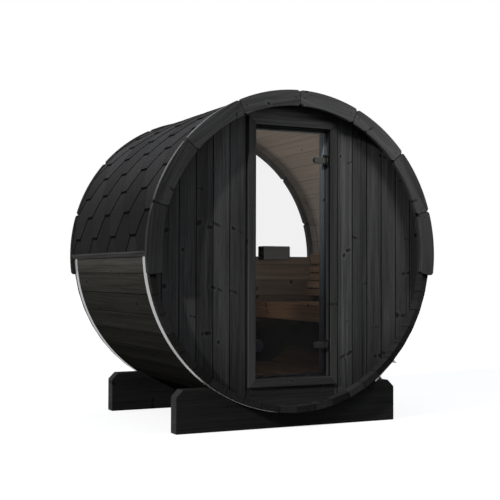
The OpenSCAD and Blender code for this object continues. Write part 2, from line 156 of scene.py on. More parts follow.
def new_finish(name):
    finish = bpy.data.materials.new(name)
    finish.use_nodes = True
    return finish, finish.node_tree.nodes["Principled BSDF"], Tap(finish.node_tree)


def sawn_grain(tap, shader, pale, dark, knot, knots=1.0, painted_light_and_joints=1.0, spread=0.6, whiskers=1.0):
    grain = tap.node("ShaderNodeAttribute", {"attribute_name": "grain"}, {}, 1)
    tone = tap.mark("tone")
    wear_and_light = tap.mark("wear_and_light")
    along = grain.part(0)
    across = grain.part(1)
    depth = grain.part(2)

    cell = grain.scaled((1 / KNOT_ALONG, 1 / KNOT_ACROSS, 0.0))
    seeds = {"voronoi_dimensions": "2D"}
    sockets = {"Vector": cell, "Scale": 1.0, "Randomness": 0.9}
    chance = tap.node("ShaderNodeTexVoronoi", seeds, sockets, 1)
    centre = tap.node("ShaderNodeTexVoronoi", seeds, sockets, 2)
    gap = tap.node("ShaderNodeVectorMath", {"operation": "SUBTRACT"}, {0: centre, 1: cell})
    gap_along = gap.part(0) * KNOT_ALONG
    gap_across = gap.part(1) * KNOT_ACROSS
    rough = grain.noise((55.0, 55.0, 55.0), 2.0, 0.5) - 0.5
    lean = chance.part(2) - 0.5
    tilted = gap_along + gap_across * lean * 0.9
    away = tilted * tilted * (0.7 + chance.part(1) * 1.1)
    away = away + gap_across * gap_across * (1.2 - chance.part(1) * 0.7)
    size = tap.calc("MAXIMUM", chance.part(0) - 0.22, 0.0) * (0.024 * knots) + 0.0002
    near = size * size / tap.calc("MAXIMUM", away, size * size)

    bent = across + gap_across * near * 1.3
    lines = tap.node("ShaderNodeCombineXYZ", {}, {0: along, 1: bent, 2: depth})
    streak = lines.noise((1.7, 70.0, 70.0), 4.0, 0.66)
    broad = lines.noise((0.8, 14.0, 14.0), 2.0, 0.5)
    fibre = lines.noise((14.0, 420.0, 420.0), 2.0, 0.6)
    sway = lines.noise((0.9, 3.0, 3.0), 1.0, 0.5) * 0.05
    side = bent - (tone - 0.5) * 0.12 + sway
    back = depth + 0.07 + tone * 0.05
    ring = tap.calc("FRACT", side.reach(back) / RING_STEP) ** 3.0

    rim = tap.calc("SQRT", away) + rough * 0.012
    core = 1.0 - rim.ramp(size * 0.7, size * 1.15)
    halo = 1.0 - rim.ramp(size * 0.9, size * 3.0)
    heart = tap.calc("FRACT", rim / (size * 0.31 + 0.0005)) * 0.35 + 0.65
    tail_along = (tilted + rough * 0.02) / (0.0045 + size * 0.5)
    tail_across = (gap_across + tap.calc("SIGN", lean) * size * 3.2) / (size * 2.3)
    tail = 1.0 - tail_along.reach(tail_across).ramp(0.3, 1.15)
    tail = tail * chance.part(1).ramp(0.2, 0.3) * (size / 0.01).ramp(0.3, 0.7) * whiskers

    deep = ((streak - 0.5) * 1.5 + (broad - 0.5) * 0.8 + ring * 0.24 + (fibre - 0.5) * 0.5) + 0.38
    deep = tap.node("ShaderNodeClamp", {}, {0: deep - halo * 0.12 + core * 0.2})
    board = deep.mix(pale, dark)
    board = tap.node("ShaderNodeClamp", {}, {0: core * heart * 0.9 + tail * 0.75}).mix(board, knot)
    # The level takes the face mark and a factor that carries painted light and painted shade as well as dark
    # joints.
    board.shaded((1.0 + (tone - 0.5) * spread + wear_and_light * 0.32) * painted_light_and_joints).into(shader, "Base Color")
    (0.6 + deep * 0.24 - core * 0.12).into(shader, "Roughness")
    height = fibre * 0.35 + streak * 0.4 - ring * 0.35 - core * 0.6 - tail * 0.5
    height.bump_into(shader, 0.4, 0.0014)
    shader.inputs["Specular IOR Level"].default_value = 0.02


def plain_wood(name, pale, dark, knot, knots=1.0):
    finish, shader, tap = new_finish(name)
    sawn_grain(tap, shader, pale, dark, knot, knots)
    return finish


luck = random.Random(11)


def any_tone(middle):
    return luck.random()


def shells(bm):
    met = set()
    for first in bm.verts:
        if first in met:
            continue
        met.add(first)
        shell = [first]
        for vert in shell:
            fresh = [e.other_vert(vert) for e in vert.link_edges if e.other_vert(vert) not in met]
            met.update(fresh)
            shell.extend(fresh)
        yield shell


def grain_frame(bm, along, depth, paleness=any_tone):
    grain = bm.verts.layers.float_vector.new("grain")
    tone = bm.verts.layers.float.new("tone")
    for shell in shells(bm):
        middle = sum((v.co for v in shell), Vector()) / len(shell)
        run = along(middle).normalized()
        face = depth(middle)
        face = (face - run * face.dot(run)).normalized()
        side = run.cross(face)
        start = luck.uniform(0.0, 60.0)
        level = paleness(middle)
        for vert in shell:
            place = vert.co - middle
            vert[grain] = (place.dot(run) + start, place.dot(side), place.dot(face))
            vert[tone] = level


def solid_copy(node):
    bm = bmesh.new()
    bm.from_mesh(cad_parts[node].data)
    bmesh.ops.remove_doubles(bm, verts=bm.verts[:], dist=1e-5)
    bmesh.ops.dissolve_limit(bm, angle_limit=math.radians(0.4), verts=bm.verts[:], edges=bm.edges[:])
    return bm


# Bevels the sharp edges and marks the new faces: edges rubbed pale and dark joints, and in places painted
# highlights and painted shade.
def ease(bm, width, steps=2, chosen=lambda edge: True, edge_wear_and_light=1.0):
    wear_and_light = bm.faces.layers.float.get("wear_and_light")
    if wear_and_light is None:
        wear_and_light = bm.faces.layers.float.new("wear_and_light")
    made = bmesh.ops.bevel(
        bm,
        geom=[e for e in bm.edges if e.calc_face_angle(0.0) > SHARP and chosen(e)],
        offset=width,
        offset_type="OFFSET",
        affect="EDGES",
        segments=steps,
        profile=0.5,
        clamp_overlap=True,
        material=-1,
    )
    for face in made["faces"]:
        face[wear_and_light] = edge_wear_and_light


def set_piece(bm, name, finish, body="barrel", stands_for=()):
    mesh = bpy.data.meshes.new(name)
    bm.to_mesh(mesh)
    bm.free()
    mesh.materials.append(finish)
    piece = bpy.data.objects.new(name, mesh)
    bpy.context.scene.collection.objects.link(piece)
    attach(piece, body)
    if stands_for:
        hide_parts(*stands_for)
    return piece


def direction(x, y, z):
    return lambda middle: Vector((x, y, z))


LONG_X = direction(1, 0, 0)
LONG_Y = direction(0, 1, 0)

cradle_finish = plain_wood("dark_stained_plank", srgb(38, 38, 38), srgb(19, 19, 19), srgb(9, 9, 9))
for place in ("front", "rear"):
    cradle = solid_copy(f"{place}_cradle")
    ease(cradle, CRADLE_EDGE)
    wear_and_light = cradle.faces.layers.float["wear_and_light"]
    # The end faces are painted paler: a painted highlight for the sun on the end grain.
    for face in cradle.faces:
        if abs(face.normal.x) > 0.6:
            face[wear_and_light] = END_FACE_HIGHLIGHT
    grain_frame(cradle, LONG_X, LONG_Y)
    set_piece(cradle, f"{place}_cradle_plank", cradle_finish, stands_for=[f"{place}_cradle"])

# Barrel: 48 spruce staves, milled with a bead on one edge and a cove on the other so that they nest.
# Their ends are grooved for the two end walls. They are stained outside and bare inside the cabin,
# brown at the floor, with painted shade under the bench and at the rear. Outside, the low staves are
# painted darker towards the ground: painted shade. The stain reaches round the front lip.
AXIS_Z = 1.1
STAVE_COUNT = 48


def from_axis(middle):
    return Vector((middle.x, 0.0, middle.z - AXIS_Z))


stave_finish, stave_shader, stave_tap = new_finish("barrel_stave_wood")
stave_place = stave_tap.place()
stave_x = stave_place.part(0)
stave_y = stave_place.part(1)
stave_up = stave_place.part(2)
stave_z = stave_up - AXIS_Z
stave_end = abs(stave_y).ramp(0.7485, 0.7495)
stave_inner = (1.0 - stave_x.reach(stave_z).ramp(0.960, 0.990)) * (1.0 - stave_end)
stave_lip = (0.0 - stave_y).ramp(0.640, 0.690)
stave_low = 1.0 - stave_up.ramp(0.85, 1.1)
stave_foot = 1.0 - stave_up.ramp(0.33, 0.45)
stave_bare = stave_inner * (1.0 - stave_lip) * (1.0 - stave_low)
# Painted shade: a band on the bare inside, next to the rear wall.
stave_rear_shade = stave_y.ramp(0.56, 0.68) * (1.0 - stave_y.ramp(0.735, 0.745)) * stave_bare
stave_turn = stave_tap.calc("ARCTAN2", stave_x, stave_z) * (STAVE_COUNT / (2 * math.pi))
stave_joint = stave_turn.from_whole().ramp(0.012, 0.027)
# The outside staves are painted darker towards the ground: painted shade. The joints are darkened as well.
stave_shade_and_joints = 1.0 - (1.0 - stave_up.ramp(0.75, 1.15)) * (1.0 - stave_inner) * (1.0 - stave_end) * 0.52
stave_shade_and_joints = stave_shade_and_joints * (1.0 - (1.0 - stave_joint) * (0.7 - stave_bare * 0.38))
stave_shade_and_joints = stave_shade_and_joints * (1.0 - stave_rear_shade * 0.4)
# Inside, low down, the staves are brown at the floor and painted dark grey above it: painted shade under the
# bench.
low_pale = stave_foot.mix(srgb(36, 37, 36), srgb(92, 71, 55))
low_dark = stave_foot.mix(srgb(22, 23, 22), srgb(57, 43, 33))
inside_pale = stave_lip.mix(stave_low.mix(srgb(204, 193, 181), low_pale), srgb(43, 43, 43))
inside_dark = stave_lip.mix(stave_low.mix(srgb(174, 161, 149), low_dark), srgb(27, 27, 27))
sawn_grain(
    stave_tap,
    stave_shader,
    stave_end.mix(stave_inner.mix(srgb(68, 67, 63), inside_pale), srgb(40, 39, 38)),
    stave_end.mix(stave_inner.mix(srgb(36, 36, 33), inside_dark), srgb(24, 23, 23)),
    stave_bare.mix(srgb(14, 13, 12), srgb(128, 104, 86)),
    painted_light_and_joints=stave_shade_and_joints,
    spread=0.35 + stave_end * 0.45 - stave_inner * 0.25,
    whiskers=0.15,
)
stave_shader.inputs["Specular IOR Level"].default_value = 0.0

for part in ("bottom", "lower_right", "right", "upper_right", "top", "upper_left", "left", "lower_left"):
    staves = solid_copy(f"{part}_staves")
    grain_frame(staves, LONG_Y, from_axis)
    set_piece(staves, f"{part}_stave_boards", stave_finish, stands_for=[f"{part}_staves"])

# Hoops: two thin bands of bright steel strip drawn round the staves by a bolt at the lower right.
# The strip is rolled, so fine scratches run along it, and the bolts are zinc plated.
hoop_finish, hoop_shader, hoop_tap = new_finish("hoop_strip_steel")
hoop_place = hoop_tap.place()
hoop_lines = hoop_place.noise((3.0, 900.0, 3.0), 3.0, 0.6)
hoop_cloud = hoop_place.noise((9.0, 30.0, 9.0), 3.0, 0.6)
hoop_cloud.mix(srgb(142, 143, 143), srgb(172, 173, 173)).into(hoop_shader, "Base Color")
(0.2 + hoop_lines * 0.22 + hoop_cloud * 0.1).into(hoop_shader, "Roughness")
hoop_lines.bump_into(hoop_shader, 0.12, 0.0002)
hoop_shader.inputs["Metallic"].default_value = 0.8


def dress(node, finish):
    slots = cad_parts[node].data.materials
    slots.clear()
    slots.append(finish)


for node in ("front_hoop", "rear_hoop", "front_hoop_bolt", "rear_hoop_bolt"):
    dress(node, hoop_finish)

# Front wall: upright tongue-and-groove boards that stand in the staves' groove, left and right of the door.
# Each board has a small bevel on its face, which makes the V-shaped joints; the bevels facing left carry
# a painted highlight and those facing right painted shade. A cross board fills the space over and under
# the door. The cabin side is left bare.
BOARD = 0.112
FIRST_JOINT = 0.328
REAR_BOARD = 0.118
REAR_TOP = 1.04
V_JOINT = 0.007
JOINT_WEAR = -2.9
LIT_BEVEL_HIGHLIGHT = 1.0
SHADED_BEVEL_SHADE = -0.8
# Paleness of each board from the door outwards: partly its own tone and partly painted light and shade,
# paler where light falls near the door and darker where the barrel's overhang shades the wall.
LEFT_BOARD_TONE_AND_LIGHT = (0.2, 0.2, 0.85, 0.1, 0.3, 0.22, 0.15)
RIGHT_BOARD_TONE_AND_LIGHT = (1.3, 1.3, 0.3, 0.3, 0.28, 0.25, 0.2)
LONG_Z = direction(0, 0, 1)

wall_finish, wall_shader, wall_tap = new_finish("end_wall_wood")
wall_place = wall_tap.place()
wall_y = wall_place.part(1)
wall_up = wall_place.part(2)
wall_rear = wall_y.ramp(-0.1, 0.1)
wall_inner = 1.0 - abs(wall_y).ramp(0.646, 0.654)
wall_low = 1.0 - wall_up.ramp(0.5, 0.85)
wall_step = (abs(wall_place.part(0)) - FIRST_JOINT) / BOARD
wall_upright = wall_step.ramp(-0.2, -0.1) * (1.0 - wall_rear)
wall_joint = (wall_step.from_whole() * BOARD).ramp(0.0022, 0.0044)
wall_joint = 1.0 - (1.0 - wall_joint) * wall_upright * 0.86
rear_joint = (((wall_up - REAR_TOP) / REAR_BOARD).from_whole() * REAR_BOARD).ramp(0.0015, 0.0036)
rear_joint = 1.0 - (1.0 - rear_joint) * wall_rear * (0.75 - wall_inner * 0.4)
# Inside, the boards below the bench are painted dark grey: painted shade under the bench. All boards are
# painted darker towards their foot: painted shade near the ground. The joints are darkened as well.
sawn_grain(
    wall_tap,
    wall_shader,
    wall_inner.mix(srgb(68, 68, 68), wall_low.mix(srgb(158, 144, 129), srgb(38, 37, 37))),
    wall_inner.mix(srgb(24, 24, 24), wall_low.mix(srgb(112, 99, 87), srgb(25, 24, 24))),
    wall_inner.mix(srgb(16, 16, 16), srgb(50, 38, 30)),
    painted_light_and_joints=(0.5 + wall_up.ramp(0.15, 0.75) * 0.5) * wall_joint * rear_joint,
)


def everything(bm):
    return bm.verts[:] + bm.edges[:] + bm.faces[:]


def saw(bm, places, across):
    for place in places:
        cut = bmesh.ops.bisect_plane(
            bm, geom=everything(bm), dist=1e-6, plane_co=across * place, plane_no=across
        )
        bmesh.ops.split_edges(bm, edges=[e for e in cut["geom_cut"] if isinstance(e, bmesh.types.BMEdge)])
        bmesh.ops.holes_fill(bm, edges=[e for e in bm.edges if e.is_boundary], sides=0)
    bmesh.ops.recalc_face_normals(bm, faces=bm.faces[:])


def upright(edge):
    run = edge.verts[0].co - edge.verts[1].co
    return abs(run.z) > 0.99 * run.length


# Each board's paleness: its own tone with painted light and shade.
def board_tone_and_light(middle):
    number = int((abs(middle.x) - FIRST_JOINT) / BOARD + 1)
    tones = LEFT_BOARD_TONE_AND_LIGHT if middle.x < 0.0 else RIGHT_BOARD_TONE_AND_LIGHT
    return tones[number] + luck.uniform(-0.05, 0.05)


for side, sign in (("left", -1), ("right", 1)):
    node = f"front_wall_{side}"
    wall = solid_copy(node)
    saw(wall, [sign * (FIRST_JOINT + BOARD * n) for n in range(6)], Vector((1, 0, 0)))
    ease(wall, V_JOINT, 2, upright, JOINT_WEAR)
    wear_and_light = wall.faces.layers.float["wear_and_light"]
    # Left-facing bevels get a painted highlight, right-facing ones painted shade.
    for face in wall.faces:
        if face[wear_and_light] < 0.0 and abs(face.normal.y) > 0.6:
            face[wear_and_light] = LIT_BEVEL_HIGHLIGHT if face.normal.x < 0.0 else SHADED_BEVEL_SHADE
    grain_frame(wall, LONG_Z, LONG_Y, board_tone_and_light)
    set_piece(wall, f"{node}_boards", wall_finish, stands_for=[node])
for part, level in (("head", 1.0), ("foot", 0.2)):
    node = f"front_wall_{part}"
    wall = solid_copy(node)
    ease(wall, 0.002, 1, upright)
    grain_frame(wall, LONG_X, LONG_Y, lambda middle: luck.random() * 0.3 + level)
    set_piece(wall, f"{node}_board", wall_finish, stands_for=[node])

# Rear wall: level boards up to a rail at seat-back height, which carries a half-moon window.
# The rail is one planed plank with a groove for the glass, and the top board is paler than the rest.
REAR_JOINT = 0.003
REAR_JOINT_WEAR = -1.4


def level_run(edge):
    run = edge.verts[0].co - edge.verts[1].co
    return abs(run.x) > 0.99 * run.length


def rear_tone(middle):
    return luck.random() * 0.4 + (0.5 if middle.z > REAR_TOP - REAR_BOARD else -0.35)


rear = solid_copy("rear_wall")
saw(rear, [REAR_TOP - REAR_BOARD * n for n in range(1, 8)], Vector((0, 0, 1)))
ease(rear, REAR_JOINT, 1, level_run, REAR_JOINT_WEAR)
grain_frame(rear, LONG_X, LONG_Y, rear_tone)
set_piece(rear, "rear_wall_boards", wall_finish, stands_for=["rear_wall"])
rail = solid_copy("rear_window_rail")
grain_frame(rail, LONG_X, LONG_Y, lambda middle: luck.random() + 0.4)
set_piece(rail, "rear_window_rail_plank", wall_finish, stands_for=["rear_window_rail"])


def sheet_glass(name, colour, roughness, film):
    finish, shader, tap = new_finish(name)
    facing = tap.node("ShaderNodeLayerWeight", {}, {"Blend": 0.25}, 1)
    shader.inputs["Base Color"].default_value = colour
    shader.inputs["Roughness"].default_value = roughness
    (film + facing ** 3.0 * 0.5).into(shader, "Alpha")
    return finish


dress("rear_window", sheet_glass("clear_window_glass", srgb(196, 206, 204), 0.03, 0.02))

# Floor: three plank bearers scribed to the round of the staves, with boards laid on them along the cabin.
# It is bare heat-treated wood, darker than the staves, with eased edges.
SLAT_EDGE = 0.003
floor_wood = plain_wood("cabin_floor_wood", srgb(87, 67, 51), srgb(53, 40, 30), srgb(28, 21, 17))


def lay_wood(node, run, face, finish):
    piece = solid_copy(node)
    ease(piece, SLAT_EDGE)
    grain_frame(piece, run, face)
    set_piece(piece, f"{node}_wood", finish, stands_for=[node])


lay_wood("floor_bearers", LONG_X, LONG_Y, floor_wood)
lay_wood("floor_deck", LONG_Y, LONG_Z, floor_wood)

# Bench and backrest: slats of bare wood along the right-hand wall, with eased edges.
# The seat's slats lie on three bearers behind a front apron. The back's slats are screwed to curved ribs.
bench_wood = plain_wood("bare_cabin_wood", srgb(142, 112, 88), srgb(94, 71, 54), srgb(46, 34, 26))
slat_wood = plain_wood("bare_backrest_wood", srgb(164, 137, 114), srgb(114, 92, 75), srgb(52, 39, 30))
lay_wood("bench_bearers", LONG_X, LONG_Y, bench_wood)
lay_wood("bench_front", LONG_Y, LONG_X, bench_wood)
lay_wood("bench_seat", LONG_Y, LONG_Z, bench_wood)
lay_wood("backrest_ribs", LONG_Z, LONG_Y, floor_wood)
lay_wood("backrest_slats", LONG_Y, from_axis, slat_wood)

# Fittings on the rear wall: a plain control box on the rail and a round air vent low down.
# Both are moulded plastic with a fine grain from the mould, and the box has a paler cover;
# its other faces are painted near-black as painted shade.


def moulded(name, colour, spot, roughness, shine):
    finish, shader, tap = new_finish(name)
    place = tap.place()
    haze = place.noise((25.0, 25.0, 25.0), 3.0, 0.55)
    haze.mix(colour, spot).into(shader, "Base Color")
    (roughness + haze * 0.12).into(shader, "Roughness")
    place.noise((900.0, 900.0, 900.0), 2.0, 0.6).bump_into(shader, 0.15, 0.0003)
    shader.inputs["Specular IOR Level"].default_value = shine
    return finish


box_sides_shade = moulded("box_sides_painted_shade", srgb(3, 3, 3), srgb(5, 5, 5), 0.8, 0.0)
cover_plastic = moulded("box_cover_plastic", srgb(132, 137, 140), srgb(148, 152, 154), 0.7, 0.1)
case = solid_copy("control_box")
ease(case, 0.003, 3)
grain_frame(case, LONG_X, LONG_Y)
# Only the front takes the pale cover; the other faces are painted near-black: painted shade.
for face in case.faces:
    face.material_index = 1 if face.normal.y < -0.5 else 0
case = set_piece(case, "control_box_case", box_sides_shade, stands_for=["control_box"])
case.data.materials.append(cover_plastic)
dress("air_vent", moulded("grey_vent_plastic", srgb(43, 48, 54), srgb(54, 60, 66), 0.5, 0.15))

# Door frame: four planed battens mitred at the corners, rebated for the glass and screwed to the wall.
# They have the charcoal stain of the outside. The stops behind the glass are brushed
# with a blue-grey stain, with painted light: dark low down and pale near the top.
STOP_FACE_Y = -0.6425
BATTEN_EDGE = 0.0025
BATTENS = (
    ("jamb_left", LONG_Z, 0.42),
    ("jamb_right", LONG_Z, 0.22),
    ("head", LONG_X, 1.0),
    ("sill", LONG_X, 0.1),
)
charcoal = plain_wood("charcoal_stained_wood", srgb(64, 64, 63), srgb(35, 35, 35), srgb(16, 15, 15), 0.55)
lining_finish, lining_shader, lining_tap = new_finish("blue_grey_lining_wood")
lining_up = lining_tap.place().part(2)
lining_light_rise = lining_up.ramp(0.6, 1.75)
lining_top_highlight = lining_up.ramp(1.6, 1.82)
# Painted light: the stain is dark low down and grows pale towards the top, with a painted highlight at the
# very top.
sawn_grain(
    lining_tap,
    lining_shader,
    lining_top_highlight.mix(lining_light_rise.mix(srgb(18, 20, 23), srgb(88, 94, 99)), srgb(126, 132, 137)),
    lining_top_highlight.mix(lining_light_rise.mix(srgb(13, 14, 17), srgb(66, 71, 75)), srgb(104, 110, 115)),
    srgb(20, 21, 23),
    knots=0.6,
)
for part, run, level in BATTENS:
    batten = solid_copy(f"door_{part}")
    ease(batten, BATTEN_EDGE)
    grain_frame(batten, run, LONG_Y, lambda middle: level + luck.uniform(-0.05, 0.05))
    for face in batten.faces:
        face.material_index = 1 if face.calc_center_median().y > STOP_FACE_Y else 0
    batten = set_piece(batten, f"door_{part}_batten", charcoal, stands_for=[f"door_{part}"])
    batten.data.materials.append(lining_finish)

# Door lining: four thin planed boards nailed behind the frame's stops, which show through the glass.
# They are brushed with the same blue-grey stain and painted light as the stops.
LINING_IN = 0.248
LINING_OUT = 0.268
LINING_FRONT = -0.6218
LINING_BACK = -0.584
LINING_FOOT = 0.3003
LINING_TOP = 1.88
LINING_EDGE = 0.002
LINING = (
    ("right", (LINING_IN, LINING_FOOT), (LINING_OUT, LINING_TOP), LONG_Z),
    ("left", (-LINING_OUT, LINING_FOOT), (-LINING_IN, LINING_TOP), LONG_Z),
    ("head", (-LINING_OUT, 1.8802), (LINING_OUT, 1.9000), LONG_X),
    ("foot", (-0.2478, LINING_FOOT), (0.2478, 0.3203), LONG_X),
)


def plank(bm, low, high):
    made = bmesh.ops.create_cube(bm, size=1.0)
    bmesh.ops.scale(bm, verts=made["verts"], vec=Vector(high) - Vector(low))
    bmesh.ops.translate(bm, verts=made["verts"], vec=(Vector(high) + Vector(low)) / 2)


for part, (x0, z0), (x1, z1), run in LINING:
    strip = bmesh.new()
    plank(strip, (x0, LINING_FRONT, z0), (x1, LINING_BACK, z1))
    ease(strip, LINING_EDGE)
    grain_frame(strip, run, LONG_Y)
    set_piece(strip, f"door_lining_{part}", lining_finish)

# Seal: a thin black rubber strip glued round the rebate, in front of the glass; it also stands for the
# shadow in the gap between glass and frame, a painted shadow.
# It is cut out at the two hinges, so that the clamps can turn.
HINGE_LOW = 0.512
HINGE_HIGH = 1.7
PAD_HALF = 0.036
SEAL_IN = 0.2660
SEAL_OUT = 0.2679
SEAL_FOOT = 0.3122
SEAL_TOP = 1.9
SEAL_RUN = 0.2658
SEAL_FRONT = -0.6945
SEAL_BACK = -0.672
SEAL = (
    ((SEAL_IN, SEAL_FOOT), (SEAL_OUT, HINGE_LOW - PAD_HALF)),
    ((SEAL_IN, HINGE_LOW + PAD_HALF), (SEAL_OUT, HINGE_HIGH - PAD_HALF)),
    ((SEAL_IN, HINGE_HIGH + PAD_HALF), (SEAL_OUT, SEAL_TOP)),
    ((-SEAL_OUT, SEAL_FOOT), (-SEAL_IN, SEAL_TOP)),
    ((-SEAL_RUN, 1.8982), (SEAL_RUN, SEAL_TOP)),
    ((-SEAL_RUN, SEAL_FOOT), (SEAL_RUN, 0.314)),
)
rubber_and_shadow = moulded("black_rubber_and_gap_shadow", srgb(8, 8, 8), srgb(13, 13, 13), 0.6, 0.05)
# The black strips stand partly for a seal and partly for the shadow in the gap round the glass: painted
# shadow.
seal = bmesh.new()
for (x0, z0), (x1, z1) in SEAL:
    plank(seal, (x0, SEAL_FRONT, z0), (x1, SEAL_BACK, z1))
ease(seal, 0.0005, 1)
set_piece(seal, "door_seal_and_gap_shadow", rubber_and_shadow)

# Hinges: two pressed steel plates on the right jamb, painted black, and two cast clamps that grip the glass.
# Each clamp is a rubbed arm on a black foot, with its pin in the plate. Its front bevels carry a painted
# highlight, its sides and underside are painted black as painted shade, and the upper clamp is painted
# paler than the lower one as painted light.
# A rubber pad lies between each clamp and the glass.
CLAMP_EDGE = 0.0018
PAD_IN = 0.031
PAD_OUT = 0.004
PAD_THICK = 0.0022
GLASS_GAP = 0.0001
glass_low, glass_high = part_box("door_glass")
black_paint_and_shade = moulded("black_hinge_paint_and_shade", srgb(8, 8, 9), srgb(14, 14, 15), 0.45, 0.1)
dress("hinge_plates", black_paint_and_shade)
clamp_finish, clamp_shader, clamp_tap = new_finish("black_clamp_metal")
clamp_place = clamp_tap.place()
clamp_up = clamp_place.part(2)
clamp_lines = clamp_place.noise((30.0, 30.0, 1200.0), 3.0, 0.6)
clamp_upper = clamp_up.ramp(1.0, 1.2)
clamp_rise = abs(clamp_up - HINGE_LOW - clamp_upper * (HINGE_HIGH - HINGE_LOW))
clamp_pin = clamp_place.part(0).ramp(glass_high[0] - PAD_OUT, glass_high[0] - 0.003)
clamp_arm = clamp_tap.calc("MAXIMUM", 1.0 - clamp_rise.ramp(0.0175, 0.0195), clamp_pin)
# The upper clamp is painted paler than the lower one: painted light.
clamp_dark = clamp_upper.mix(srgb(28, 28, 27), srgb(46, 46, 44))
clamp_pale = clamp_upper.mix(srgb(34, 34, 33), srgb(54, 54, 52))
clamp_face = clamp_arm.mix(srgb(5, 5, 5), clamp_lines.mix(clamp_dark, clamp_pale))
# Bevelled edges on the front are painted pale: a painted highlight.
clamp_tap.mark("wear_and_light").mix(clamp_face, srgb(130, 130, 127)).into(clamp_shader, "Base Color")
(0.3 + clamp_lines * 0.16).into(clamp_shader, "Roughness")
clamp_shader.inputs["Metallic"].default_value = 0.4
clamp_shader.inputs["Specular IOR Level"].default_value = 0.1
clamp = solid_copy("hinge_clamps")
ease(clamp, CLAMP_EDGE)
wear_and_light = clamp.faces.layers.float["wear_and_light"]
# Sides and underside take the black paint: painted shade. The upper clamp's left-facing bevels lose the
# painted highlight.
for face in clamp.faces:
    if abs(face.normal.y) < 0.6 or face.normal.z < -0.2:
        face.material_index = 1
    if face.normal.x < -0.2 and face.calc_center_median().z > 1.1:
        face[wear_and_light] = 0.0
clamp = set_piece(clamp, "hinge_clamp_bodies", clamp_finish, "door", ["hinge_clamps"])
clamp.data.materials.append(black_paint_and_shade)
pads = bmesh.new()
for level in (HINGE_LOW, HINGE_HIGH):
    plank(
        pads,
        (glass_high[0] - PAD_IN, glass_low[1] - PAD_THICK, level - PAD_HALF),
        (glass_high[0] - PAD_OUT, glass_low[1] - GLASS_GAP, level + PAD_HALF),
    )
ease(pads, 0.0006, 1)
set_piece(pads, "hinge_pads", rubber_and_shadow, "door")

# Door: one sheet of toughened glass, eight millimetres thick, tinted bronze, with ground edges.
# A thin black strip is stuck along its top edge, where it closes under the frame's head; it also stands
# for the shadow in the gap there, a painted shadow.
STRIP_TALL = 0.017
STRIP_THICK = 0.0012
dress("door_glass", sheet_glass("bronze_door_glass", srgb(46, 44, 42), 0.02, 0.05))
# Partly a strip and partly a painted shadow of the gap under the head.
strip = bmesh.new()
plank(
    strip,
    (glass_low[0] + 0.001, glass_low[1] - STRIP_THICK, glass_high[2] - STRIP_TALL),
    (glass_high[0] - 0.001, glass_low[1] - GLASS_GAP, glass_high[2] - 0.0005),
)
ease(strip, 0.0004, 1)
set_piece(strip, "door_glass_strip_and_shadow", rubber_and_shadow, "door")

# Roof: felt shingles with six-sided tabs, nailed in courses from the eaves up to the ridge.
# Each tab is a sheet of bitumen felt with grey slate grit, and laps two courses of the ones below.
# Row heights are angles round the barrel; the rows are set half a tab apart.
FELT = 0.0029
LAP = FELT + 0.0003
COURSE_ANGLE = math.radians(8.46)
FIRST_ROW = math.radians(5.4)
ROOF_R = 1.0026
ROOF_END = 0.7495
COURSE = COURSE_ANGLE * ROOF_R
TAB_PITCH = 0.376
TAB_FOOT = 0.0485
TAB_HALF = 0.1375
TAB_TALL = 2.06
TAB_LINES = (0.07, 0.25, 0.5, 0.75, 1.0, 1.5, 2.0)
TAB_BORDER = 0.0045
FOOT_STRIP = 0.068
FOOT_SHADE = 1.25
BORDER_SHADE = 0.8
ROWS = range(-2, 10)
ROW_OFFSETS = (-0.501, -0.689)
ROW_TABS = range(-1, 6)

felt_finish, felt_shader, felt_tap = new_finish("slate_grit_shingle")
felt_place = felt_tap.place()
felt_grit = felt_place.noise((420.0, 420.0, 420.0), 2.0, 0.7)
felt_patch = felt_place.noise((7.0, 7.0, 7.0), 4.0, 0.6)
# Painted light: the felt is painted up to about two and a half times paler towards the top of the roof.
felt_painted_top_light = 1.0 + felt_place.part(2).ramp(1.3, 1.9) * 1.45
# The tabs' sides, border and foot strip are darkened: bare bitumen, and partly painted shadow.
felt_level = (0.42 + felt_tap.mark("tone") * 0.24 + felt_patch * 0.24) * (1.0 - felt_tap.mark("cut") * 0.75)
felt_colour = felt_grit.ramp(0.35, 0.68).mix(srgb(25, 25, 25), srgb(52, 52, 53))
felt_colour.shaded(felt_level * felt_painted_top_light).into(felt_shader, "Base Color")
(0.82 + felt_patch * 0.12).into(felt_shader, "Roughness")
felt_grit.bump_into(felt_shader, 0.5, 0.0012)
felt_shader.inputs["Specular IOR Level"].default_value = 0.01


def trim_off(bm, spot, outward):
    bmesh.ops.bisect_plane(
        bm, geom=everything(bm), dist=1e-6, plane_co=spot, plane_no=outward, clear_outer=True
    )
    bmesh.ops.holes_fill(bm, edges=[e for e in bm.edges if e.is_boundary], sides=0)


